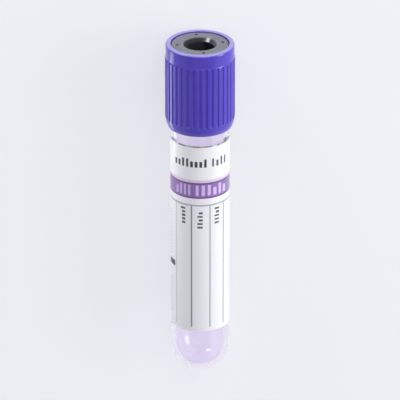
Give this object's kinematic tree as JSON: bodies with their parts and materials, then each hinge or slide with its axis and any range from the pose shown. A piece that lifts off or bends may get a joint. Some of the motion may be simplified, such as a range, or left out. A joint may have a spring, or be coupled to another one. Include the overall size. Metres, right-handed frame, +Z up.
{
  "type": "blood collection tube",
  "caption": "Clear round-bottomed sample tube with a wrap label, closed by a rubber stopper held in a fluted pull-off plastic cap.",
  "frame": {"origin": "on the surface that the tube lies on, under the middle of its overall box", "axes": "+Y along the length towards the cap end, level with the surface; +Z up through the middle of the label; +X across the tube, to the right as the label is read with the cap at the top"},
  "size_m": [0.0156, 0.0802, 0.0159],
  "materials": {
    "tube_plastic": "clear, polished",
    "label_film": "smooth, slightly glossy",
    "stopper_rubber": "smooth, satin",
    "cap_plastic": "satin moulded"
  },
  "bodies": {
    "tube_body": {"tube": "tube_plastic", "label": "label_film"},
    "closure": {"cap": "cap_plastic", "stopper": "stopper_rubber"}
  },
  "joints": [
    {"name": "closure_pull", "type": "slide", "parent": "tube_body", "child": "closure", "axis": [0, 0.9997, 0.0229], "range_m": [0, 0.03]}
  ]
}
